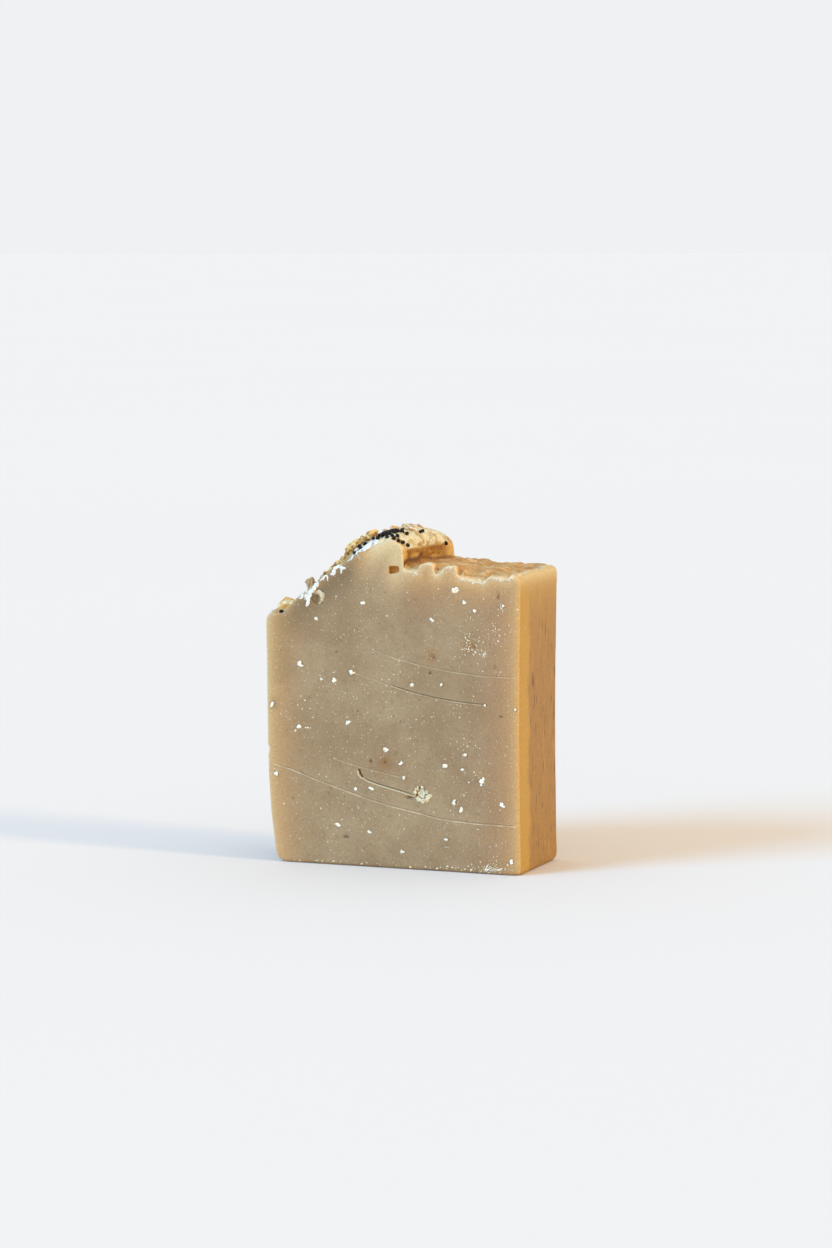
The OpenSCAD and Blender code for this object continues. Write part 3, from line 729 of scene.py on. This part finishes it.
def mottled(name, dark, light, patch, span, looks, detail=4.0, grit=0.5, spots=(), edge=None, relief=None):
    """A patchy material: two tones, the size of a patch, the part of the noise that counts, the shader's
    inputs, the noise's detail and roughness, spots (tone, place, outer and inner reach), a tone of painted
    shade where a cut piece turns aside, and the bump's strength and depth. Sizes are in mm."""
    coat = new_material(name)
    tex = node(coat, "ShaderNodeTexCoord")
    noise = node(coat, "ShaderNodeTexNoise",
                 inputs={"Vector": tex.outputs["Object"], "Scale": 1 / MM / patch, "Detail": detail,
                         "Roughness": grit})
    share = node(coat, "ShaderNodeMapRange",
                 inputs={"Value": noise.outputs["Fac"], "From Min": span[0], "From Max": span[1]})
    layers = [(light, share.outputs["Result"])]
    for tone, place, outer, inner in spots:
        away = node(coat, "ShaderNodeVectorMath", {"operation": "DISTANCE"},
                    {0: tex.outputs["Object"], 1: tuple(v * MM for v in place)})
        near = node(coat, "ShaderNodeMapRange",
                    inputs={"Value": away.outputs["Value"], "From Min": outer * MM, "From Max": inner * MM})
        layers.append((tone, near.outputs["Result"]))
    # Painted shade where a cut piece turns aside from the cut
    if edge:
        aside = node(coat, "ShaderNodeAttribute", {"attribute_name": "aside"})
        layers.append((edge, aside.outputs["Fac"]))
    if relief:
        strength, depth = relief
        bump = node(coat, "ShaderNodeBump",
                    inputs={"Height": noise.outputs["Fac"], "Strength": strength, "Distance": depth * MM})
        looks = {**looks, "Normal": bump.outputs["Normal"]}
    shader = node(coat, "ShaderNodeBsdfPrincipled",
                  inputs={"Base Color": layered(coat, dark, layers), **looks})
    node(coat, "ShaderNodeOutputMaterial", inputs={"Surface": shader.outputs["BSDF"]})
    return coat


# Poppy seed: a kidney-shaped seed with a netted skin, modelled once, 1 unit long
bpy.ops.mesh.primitive_uv_sphere_add(segments=20, ring_count=12, radius=0.5)
seed = bpy.context.object
edited(seed, bpy.ops.transform.resize, value=(1.0, 0.86, 0.84))
for vertex in seed.data.vertices:
    pull = math.exp(-((vertex.co.y + 0.43) ** 2 + vertex.co.x ** 2) / 0.03)
    vertex.co.y += 0.14 * pull
# Seed coat: black and dry, with the netted ribs that it grows with
seed_skin = new_material("poppy seed, dry and netted")
tex = node(seed_skin, "ShaderNodeTexCoord")
net = node(seed_skin, "ShaderNodeTexVoronoi", {"feature": "DISTANCE_TO_EDGE"},
           {"Vector": tex.outputs["Object"], "Scale": 1 / MM / 0.16})
net = node(seed_skin, "ShaderNodeMapRange",
           inputs={"Value": net.outputs["Distance"], "From Min": 0.0, "From Max": 0.25}).outputs["Result"]
bump = node(seed_skin, "ShaderNodeBump", {"invert": True},
            {"Height": net, "Strength": 0.6, "Distance": 0.03 * MM})
shader = node(seed_skin, "ShaderNodeBsdfPrincipled",
              inputs={"Base Color": layered(seed_skin, "#2e2218", [("#120d08", net)]), "Roughness": 0.5,
                      "Specular IOR Level": 0.16, "Normal": bump.outputs["Normal"]})
node(seed_skin, "ShaderNodeOutputMaterial", inputs={"Surface": shader.outputs["BSDF"]})
seeds = []
for part in loose_parts("poppy_seeds"):
    centre = axes_of(part)[0]
    normal = surface_at(*(centre / MM))[1]
    seeds.append(placed(seed, centre, any_turn(normal), [0.95 * MM * rng.uniform(0.92, 1.08)] * 3))
    bpy.data.objects.remove(part)
# More seeds in the black row on the crest: across and back, and how high they lie on the others
HEAP = [
    (-4.9, -10.2, 0), (-3.9, -10.3, 0), (-3.0, -9.3, 0), (-2.6, -10.5, 0), (-1.9, -9.4, 0.1),
    (-1.4, -10.3, 0.1), (-0.9, -9.4, 0.2), (-1.2, -8.7, 0.1), (-0.4, -8.7, 0.2), (0.1, -9.6, 0),
    (0.3, -8.7, 0), (-0.4, -10.8, 0), (1.1, -8.1, 0.1), (-2.2, -8.8, 0), (-3.4, -10.9, 0), (-0.2, -7.8, 0),
    (-1.5, -11.2, 0), (-2.1, -10.0, 0.3), (-0.8, -10.0, 0.3), (0.8, -7.3, 0), (-2.9, -10.2, 0.2),
    (-1.0, -10.7, 0.1), (-1.7, -10.7, 0.3), (-0.2, -9.1, 0.35), (-3.5, -9.8, 0.1), (0.6, -8.1, 0.2),
    (-2.5, -9.6, 0.3),
]
for x, y, rise in HEAP:
    hit, normal = from_above(soap_tree, x, y)
    seeds.append(placed(seed, hit + normal * (0.2 + rise) * MM, any_turn(normal),
                        [0.85 * MM * rng.uniform(0.85, 1.1)] * 3))
bpy.data.objects.remove(seed)
joined("poppy_seeds_netted", seeds, seed_skin, "poppy_seeds")

# Rolled oat: an oval flake with a crease along it, modelled once, 1 unit long, wide and thick
bpy.ops.mesh.primitive_cylinder_add(vertices=24, radius=0.5, depth=0.8)
flake = bpy.context.object
for side in (1, -1):
    flake.data.polygons.foreach_set("select", [face.normal.z * side > 0.9 for face in flake.data.polygons])
    bpy.ops.object.mode_set(mode="EDIT")
    bpy.ops.mesh.select_mode(type="FACE")
    bpy.ops.mesh.inset(thickness=0.06)
    bpy.ops.transform.translate(value=(0, 0, 0.1 * side))
    bpy.ops.mesh.inset(thickness=0.14)
    bpy.ops.mesh.inset(thickness=0.14)
    bpy.ops.mesh.poke()
    bpy.ops.mesh.select_all(action="DESELECT")
    bpy.ops.object.mode_set(mode="OBJECT")
use_modifier(flake, "SUBSURF", levels=2, render_levels=2)
for vertex in flake.data.vertices:
    spot = vertex.co
    inside = max(0.0, 1 - (spot.x ** 2 + spot.y ** 2) / 0.25)
    edge = 1 - inside
    spot.z -= math.copysign(0.32 * math.exp(-(spot.y / 0.07) ** 2) * inside, spot.z)
    spot.z += 0.4 * spot.x ** 2 - 0.25 * spot.y ** 2
    around = math.atan2(spot.y, spot.x)
    spot.xy *= 1 + edge * (0.05 * math.sin(3 * around + 1) + 0.04 * math.sin(7 * around))
# Where the core of the flake that the cut laid open is, and the flake that is browned all over
DARK_CORE, BROWNED = (-18.0, -12.5, 59.2), (-19.9, -10.2, 62.3)
# Oat: steamed, pressed between rollers and dried, with its bran in streaks
flake_dry = mottled("rolled oat, pressed and dried", "#b08250", "#dcc398", 0.9, (0.38, 0.62),
                    {"Roughness": 0.6, "Specular IOR Level": 0.3, **scatter(0.2, (1.5, 1.0, 0.6), 0.5)},
                    spots=[("#7d5e36", DARK_CORE, 1.5, 1.0), ("#b38c58", BROWNED, 2.0, 1.6)],
                    relief=(0.4, 0.1))
flakes = []
for part in loose_parts("oat_flakes"):
    centre, axes, size = axes_of(part)
    # The lowest one is the cluster in the front cut, which has a piece of its own
    if centre.z < 35 * MM:
        clump_centre, clump_axes, clump_size = centre.copy(), axes, size
    else:
        flakes.append(placed(flake, centre, axes, size * np.array([1, 1, 0.85])))
    bpy.data.objects.remove(part)
# Flakes lying on the crest: place, turn and lean in radians, length, width and thickness
CREST_FLAKES = [
    (-1.2, -7.1, 74.6, 0.4, 0.8, 2.4, 1.6, 0.5), (-2.9, -7.6, 74.2, 1.9, 0.5, 2.0, 1.5, 0.45),
    (0.9, -3.9, 74.4, 2.6, 0.15, 3.2, 2.2, 0.45), (0.8, 3.4, 74.6, 1.2, 0.2, 2.6, 2.0, 0.5),
]
for x, y, z, turn, lean, long, wide, thick in CREST_FLAKES:
    place, normal = surface_at(x, y, z)
    axes = turned_axes(normal, turn)
    tilt = Matrix.Rotation(lean, 3, axes[0])
    flakes.append(placed(flake, place + normal * 0.15 * MM, [tilt @ axis for axis in axes],
                         [long * MM, wide * MM, thick * MM]))
# The browned one stands on its edge in the flank's crust
upright = Vector((0.30, 0.05, 0.95)).normalized()
facing = Vector((-0.25, -0.96, 0.13)).normalized()
flakes.append(placed(flake, Vector(BROWNED) * MM, [upright, facing.cross(upright), facing],
                     [2.9 * MM, 1.5 * MM, 0.8 * MM]))
bpy.data.objects.remove(flake)
oats = joined("rolled_oats", flakes, flake_dry, "oat_flakes")
roughened(oats, 1.1, 1, 0.3)

# Toasted oat: craggy golden lumps, each a crumpled ball fitted to its solid, with crumbs beside them
lump = new_ball(4)
# Oats stuck together with syrup and toasted golden in an oven, browner on the lump beside the flank's edge
toasted = mottled("oat cluster, toasted", "#a06a24", "#e6bd70", 1.0, (0.42, 0.58),
                  {"Roughness": 0.5, "Specular IOR Level": 0.4, **scatter(0.3, (1.5, 0.8, 0.3), 0.6)},
                  spots=[("#b08a58", (-20.8, -7.5, 61.7), 3.0, 2.4)], relief=(0.5, 0.1))
lumps = []
for part in loose_parts("oat_lumps"):
    centre, axes, size = axes_of(part)
    lumps.append(placed(lump, centre, axes, size * 1.08))
    bpy.data.objects.remove(part)
clusters = joined("toasted_oats", lumps, toasted, "oat_lumps")
# Crumbs heaped along the flank: place, length, width and thickness
CRUMBS = [
    (-12.3, -10.2, 67.9, 1.9, 1.3, 1.0), (-11.4, -9.8, 68.9, 1.8, 1.3, 1.0),
    (-10.4, -9.6, 69.8, 2.7, 2.0, 1.7), (-9.5, -9.4, 70.4, 2.9, 2.1, 2.0),
    (-8.7, -9.0, 71.0, 2.8, 2.2, 1.9), (-7.8, -8.8, 71.6, 2.4, 1.8, 1.6), (-6.3, -8.2, 72.6, 2.3, 2.0, 2.0),
    (-5.6, -7.6, 73.1, 2.0, 1.7, 1.7), (-13.4, -10.8, 66.7, 1.5, 1.1, 0.8),
    (-12.8, -11.2, 66.9, 1.2, 0.9, 0.7), (-14.9, -10.4, 65.8, 1.8, 1.2, 0.7),
    (-16.2, -10.6, 64.9, 1.5, 1.1, 0.6), (-22.0, 1.5, 61.0, 1.8, 1.3, 0.9),
    (-13.0, 2.6, 67.6, 1.9, 1.4, 1.0), (-4.6, 6.0, 73.0, 1.8, 1.3, 1.0),
]
crumbled = []
for x, y, z, long, wide, thick in CRUMBS:
    place, normal = surface_at(x, y, z)
    crumbled.append(placed(lump, place + normal * 0.35 * thick * MM, any_turn(normal),
                           [long * MM, wide * MM, thick * MM]))
heaped = joined("toasted_crumbs", crumbled, toasted)
resampled(heaped, 0.13)
bpy.data.objects.remove(lump)
for piece in (clusters, heaped):
    roughened(piece, 1.2, 1, 0.9)
    roughened(piece, 0.35, 1, 0.14)


def mark_shaded_sides(piece):
    """Marks where a piece laid open by the cut turns away from it, at its edge, for painted shade there."""
    store(piece.data, "aside", step(0.72, 0.35, -points_of(piece.data)[1][:, 1]))


# Crumbs laid open by the cut: the frame's own shapes, roughened out of their ovals
MATT = {"Roughness": 0.8, "Specular IOR Level": 0.2}
# Oat crumb: raw and floury, sliced by the wire, with painted shade where it turns away at the edge
chalky = mottled("oat crumb, cut open and chalky", "#d8c094", "#fff3d8", 0.5, (0.30, 0.5),
                 {**MATT, "Roughness": 0.7}, detail=2.0, edge="#8f7146", relief=(0.4, 0.08))
crumbs = node_copy("oat_crumbs", "crumbs")
resampled(crumbs, 0.09)
roughened(crumbs, 0.55, 1, 1.0, mid_level=0.345)
roughened(crumbs, 0.25, 1, 0.2)
use_modifier(crumbs, "SMOOTH", iterations=1)
mark_shaded_sides(crumbs)
joined("oat_crumbs_cut", [crumbs], chalky, "oat_crumbs")

# Small chips all over the front cut, a chip modelled once with few faces
# Oat dust: ground fine, stirred into the paste and laid open by the wire
dusty = mottled("oat dust, ground fine in the soap", "#c0a070", "#fbeed2", 1.5, (0.35, 0.65), MATT,
                detail=1.0)
chip = new_ball(1)
edited(chip, bpy.ops.mesh.bisect, plane_co=(0.12, 0.1, 0), plane_no=(0.8, 0.6, 0.1), use_fill=True,
       clear_outer=True)
chips = []


def set_chip(x, z, length, turn=None, width=None):
    """Sets one chip in the front cut: across and up, length and width in mm, turn in radians."""
    place, normal = surface_at(x, -HALF_THICK, z)
    if normal.y > -0.7:
        return
    axes = any_turn(normal) if turn is None else turned_axes(normal, turn)
    width = width or length * rng.uniform(0.5, 0.9)
    chips.append(placed(chip, place - normal * 0.02 * MM, axes, [length * MM, width * MM, 0.2 * MM]))


for k in range(170):
    set_chip(rng.uniform(-28.5, 29), rng.uniform(1.5, 64), 0.18 + 0.3 * rng.random() ** 3)
# Where they lie thicker: across, up and spread, and how many
THICKER = [
    (18.6, 50.6, 1.7, 90), (24.5, 53.8, 1.3, 30), (21.2, 48.4, 1.1, 30), (22.5, 57.0, 3.0, 22),
    (22.0, 25.0, 5.0, 30), (17.0, 14.0, 4.0, 26), (23.8, 1.2, 2.4, 26), (-19.5, 37.0, 1.6, 10),
    (-21.5, 30.5, 2.0, 10), (13.0, 33.0, 6.0, 16), (-10.0, 52.0, 4.0, 14), (2.0, 41.0, 2.5, 20),
    (-2.0, 9.0, 6.0, 14), (-24.5, 9.0, 4.0, 10),
]
for x, z, spread, count in THICKER:
    for k in range(count):
        set_chip(x + rng.gauss(0, spread), max(0.6, z + rng.gauss(0, spread * 0.8)),
                 0.18 + 0.45 * rng.random() ** 2)
for x in np.arange(-24, 27, 0.8):
    if rng.random() < 0.6:
        set_chip(x + rng.uniform(-0.5, 0.5), rng.uniform(0.4, 1.2), rng.uniform(0.25, 0.9), 0.0)
# Soda ash scuffed along the foot at the right, in long low chips
for k in range(70):
    set_chip(23.2 + rng.gauss(0, 2.0), 1.1 + rng.gauss(0, 0.5), rng.uniform(0.4, 1.1),
             rng.uniform(-0.25, 0.25), rng.uniform(0.12, 0.25))
# Fine hairs of dry soap: across, up, length and turn
HAIR_WIDE = 0.15
HAIRS = [
    (26.2, 57.6, 1.9, 0.85), (18.6, 55.9, 1.6, 0.5), (22.6, 49.0, 1.5, 0.15), (25.8, 44.6, 0.8, 1.4),
    (-13.6, 43.0, 1.2, -0.5), (8.5, 6.0, 1.2, -0.8), (13.0, 5.5, 1.4, 2.4), (20.3, 9.8, 1.0, -0.9),
    (24.6, 6.4, 1.3, 0.8), (14.6, 58.9, 1.0, 0.2), (-16.9, 42.2, 0.8, -0.9), (-16.1, 41.4, 0.9, -0.7),
    (-9.0, 43.35, 1.3, -0.1), (-27.25, 35.8, 0.8, 1.75), (-27.3, 35.1, 0.8, 1.35), (25.7, 58.9, 1.6, 0.9),
    (17.6, 51.6, 1.0, 1.2), (19.4, 51.0, 1.1, -0.3), (18.2, 49.4, 0.9, 0.7), (20.0, 50.2, 0.8, 1.9),
    (16.9, 50.3, 0.8, -0.8), (24.0, 54.6, 0.9, 0.4), (21.9, 47.6, 0.9, 0.9), (-2.6, 60.1, 0.9, -0.3),
    (3.0, 8.9, 1.0, 0.3), (-8.8, 10.6, 0.9, -0.6),
]
for x, z, long, turn in HAIRS:
    set_chip(x, z, long, turn, HAIR_WIDE)
# A row of round ones at the left, and single ones: across, up and width
ROUND_ONES = [
    (-23.7, 30.4, 0.4), (-22.5, 30.4, 0.4), (-20.4, 30.35, 0.6), (-19.8, 30.5, 0.6), (-19.3, 30.4, 0.4),
    (-8.9, 44.6, 0.35), (-13.5, 23.9, 0.4), (-14.4, 45.9, 0.4), (-10.8, 38.5, 0.4), (-21.2, 34.6, 0.45),
    (-4.1, 48.4, 0.5), (-20.7, 28.1, 0.35), (-5.7, 40.4, 0.3),
]
for x, z, wide in ROUND_ONES:
    set_chip(x, z, wide, None, 0.8 * wide)
# Crumbly bits of soap along the plateau's rim: from and to, and how many
for low, high, count in ((3.4, 10.0, 16), (12.0, 15.4, 12), (16.0, 28.6, 44)):
    for k in range(count):
        x = rng.uniform(low, high)
        set_chip(x, np.interp(x, curd_x, curd_z) - 0.12 - abs(rng.gauss(0, 0.3)), rng.uniform(0.25, 0.75))
joined("cut_specks", chips, dusty)
bpy.data.objects.remove(chip)

# The cut cluster: bits from its upper left to its lower right, over the frame's own shape
BITS = [
    (6.3, 17.9, 1.0), (6.8, 17.6, 1.1), (7.1, 17.4, 1.5), (7.6, 17.0, 1.5), (8.2, 16.6, 1.4),
    (8.7, 15.9, 1.2), (8.9, 16.6, 1.0), (8.1, 15.6, 1.3), (7.5, 15.7, 1.1), (6.9, 16.3, 1.3),
    (6.4, 16.0, 1.0), (7.1, 17.9, 0.8), (6.3, 17.2, 1.0), (8.5, 17.4, 0.8), (7.0, 15.3, 0.8),
]
ball = new_ball(4)
clump_bits = [placed(ball, surface_at(x, -HALF_THICK, z)[0], any_turn(Vector((0, -1, 0))),
                     [wide * MM, 0.75 * wide * MM, 0.55 * wide * MM]) for x, z, wide in BITS]
clump_bits.append(placed(ball, clump_centre + Vector((0, 0.25 * MM, 0)), clump_axes,
                         clump_size * np.array([0.9, 0.9, 1])))
bpy.data.objects.remove(ball)
# Several flakes baked together, sliced by the wire, with open pores
# Painted shade where the cluster turns away from the cut
coarse = mottled("oat cluster, cut open and porous", "#94703f", "#ecd8ac", 0.45, (0.36, 0.52), MATT, grit=0.7,
                 edge="#80602f")
clump = joined("oat_clump_cut", clump_bits, coarse)
resampled(clump, 0.10)
roughened(clump, 0.6, 2, 0.5, mid_level=0.42)
mark_shaded_sides(clump)

# White soap and soda ash smeared along the front edge of the flank: points along each smear, and its width
SMEARS = [
    ([(-21.6, 59.2), (-20.1, 60.1), (-19.0, 60.7), (-18.4, 61.5), (-17.7, 62.1), (-16.9, 62.3)], 1.2),
    ([(-18.9, 60.5), (-19.4, 59.6), (-19.6, 58.5), (-19.8, 57.5)], 1.0),
    ([(-20.2, 59.9), (-20.4, 58.8)], 0.7),
    ([(-18.2, 63.6), (-17.4, 63.4), (-17.5, 62.8), (-18.0, 62.3)], 0.5),
    ([(-16.7, 63.3), (-16.1, 64.0), (-15.5, 64.6)], 0.5),
    ([(-15.1, 64.5), (-14.9, 63.8), (-14.9, 63.1)], 0.5), ([(-15.8, 64.1), (-15.9, 63.4)], 0.5),
    ([(-13.7, 64.7), (-13.3, 65.7), (-12.7, 66.7)], 1.0),
    ([(-12.7, 66.7), (-11.7, 66.5), (-10.8, 66.0)], 0.9),
    ([(-11.9, 66.3), (-11.6, 65.5), (-11.7, 64.9)], 0.55), ([(-13.1, 66.1), (-12.3, 66.1)], 1.0),
    ([(-10.2, 68.1), (-9.6, 68.8), (-8.9, 69.6)], 0.6), ([(-7.9, 70.7), (-8.1, 70.1), (-8.4, 69.5)], 0.5),
    ([(-8.0, 69.4), (-7.5, 68.8), (-7.1, 68.2)], 0.3), ([(-9.9, 68.0), (-9.2, 68.2)], 0.45),
    ([(-6.8, 70.1), (-6.0, 70.7), (-5.2, 71.2), (-4.0, 71.8), (-2.8, 72.0)], 1.1),
    ([(-6.2, 71.0), (-5.2, 71.9), (-3.8, 72.5), (-3.0, 72.7)], 1.1), ([(-2.6, 72.2), (-1.2, 72.6)], 0.4),
]
drop = new_ball(3)
drops = []
for points, width in SMEARS:
    for (x0, z0), (x1, z1) in zip(points, points[1:]):
        count = max(2, int(math.hypot(x1 - x0, z1 - z0) / (0.2 * width)))
        for k in range(count):
            x, z = x0 + (x1 - x0) * k / count, z0 + (z1 - z0) * k / count
            place, normal = surface_at(x, -HALF_THICK - 0.1, z)
            wide = width * rng.uniform(0.65, 1.05) * MM
            astray = Vector((rng.gauss(0, 0.09), 0, rng.gauss(0, 0.09))) * width * MM
            drops.append(placed(drop, place + astray, any_turn(normal),
                                [wide, wide * rng.uniform(0.6, 0.9), 0.5 * wide]))
# A dab of it on the crest: across and back
for x, y in ((0.7, -2.6), (1.1, -2.5), (1.5, -2.4), (1.9, -2.2)):
    hit, normal = from_above(soap_tree, x, y)
    drops.append(placed(drop, hit, any_turn(normal), [1.0 * MM, 0.8 * MM, 0.5 * MM]))
bpy.data.objects.remove(drop)
# Soda ash: the chalky bloom of curing soap, mixed with shavings and pressed on as the bar was cut
ash = mottled("white soap and soda ash, smeared and waxy", "#b5a283", "#ecdfcc", 0.8, (0.36, 0.50),
              {"Roughness": 0.35, **scatter(0.25, (1.0, 0.9, 0.8), 0.4)})
smears = joined("ash_smears", drops, ash)
resampled(smears, 0.10)
roughened(smears, 0.5, 1, 0.3)
use_modifier(smears, "SMOOTH", iterations=4)
only(smears)
bpy.ops.object.shade_smooth()
